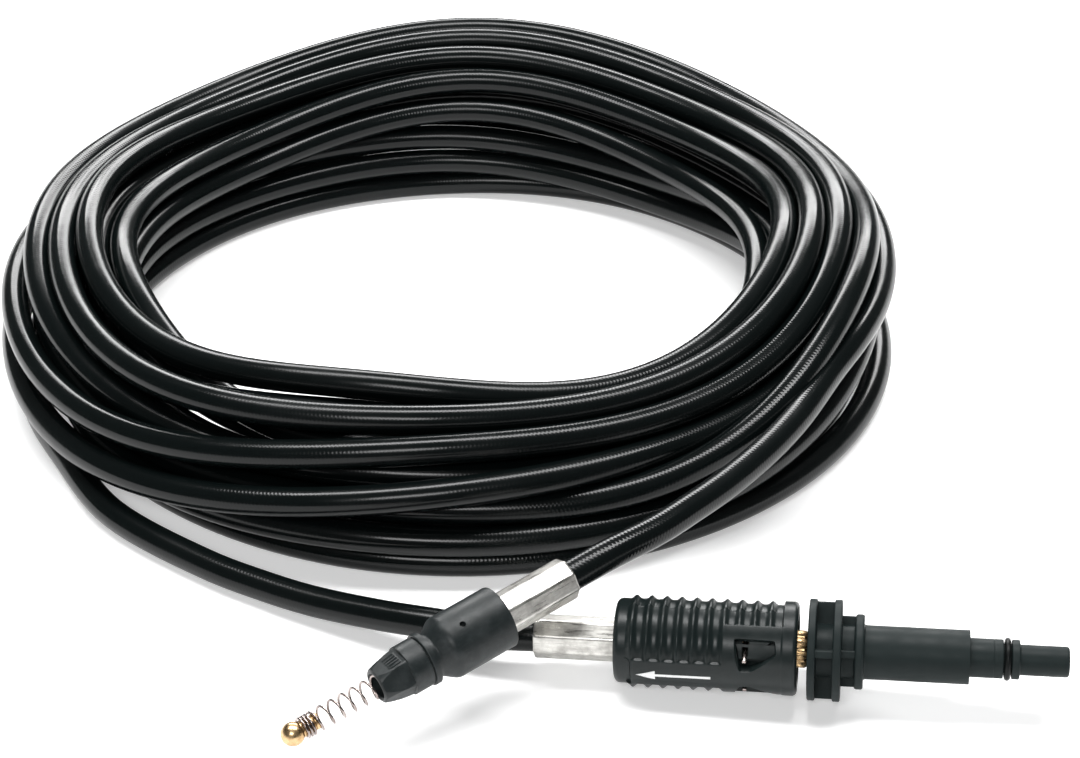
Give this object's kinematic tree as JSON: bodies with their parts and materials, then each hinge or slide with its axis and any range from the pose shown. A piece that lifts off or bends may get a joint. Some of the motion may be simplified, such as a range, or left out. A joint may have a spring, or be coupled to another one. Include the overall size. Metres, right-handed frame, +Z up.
{
  "type": "pressure washer drain cleaning hose",
  "caption": "Coiled black high-pressure hose with a spring-tipped drain nozzle at one end and a quick coupling with a bayonet adapter at the other.",
  "frame": {"origin": "on the floor, under the middle of the whole part's box", "axes": "+Z up, the axis of the coil; +Y away from the fittings, which lie at the -Y side; +X towards the adapter's spigot"},
  "size_m": [0.3558, 0.4114, 0.066],
  "materials": {
    "hose_rubber": "smooth black hose cover with a soft gloss",
    "ferrule_metal": "crimped, lightly worn bright steel",
    "coupling_plastic": "moulded black plastic with a satin skin",
    "adapter_plastic": "moulded black plastic with a satin skin",
    "nozzle_plastic": "moulded black plastic with a fine grain",
    "spring_wire": "bright spring wire",
    "brass": "turned brass",
    "seal_rubber": "black rubber seal"
  },
  "bodies": {
    "hose": {"hose_coil": "hose_rubber", "hose_tail_connector": "hose_rubber", "hose_tail_nozzle": "hose_rubber", "connector_ferrule": "ferrule_metal", "nozzle_ferrule": "ferrule_metal", "coupling_core": "coupling_plastic", "wire_clip": "spring_wire", "nozzle_holder": "nozzle_plastic", "nozzle_cap": "nozzle_plastic", "tip_spring": "spring_wire"},
    "sleeve": {"pull_sleeve": "coupling_plastic"},
    "adapter": {"adapter_body": "adapter_plastic", "adapter_seal": "seal_rubber", "brass_plug": "brass"},
    "tip": {"brass_tip": "brass"}
  },
  "joints": [
    {"name": "sleeve_slide", "type": "slide", "parent": "hose", "child": "sleeve", "axis": [-0.9944, 0.0975, -0.0419], "range_m": [0, 0.003], "stiffness_N_per_m": 600},
    {"name": "adapter_swivel", "type": "hinge", "parent": "hose", "child": "adapter", "pos_m": [0.0157, -0.14623, 0.01287], "axis": [0.9944, -0.0975, 0.0419], "continuous": true},
    {"name": "tip_compress", "type": "slide", "parent": "hose", "child": "tip", "axis": [0.7909, 0.5916, 0.1564], "range_m": [0, 0.012], "stiffness_N_per_m": 1500, "deforming": ["tip_spring"]}
  ]
}
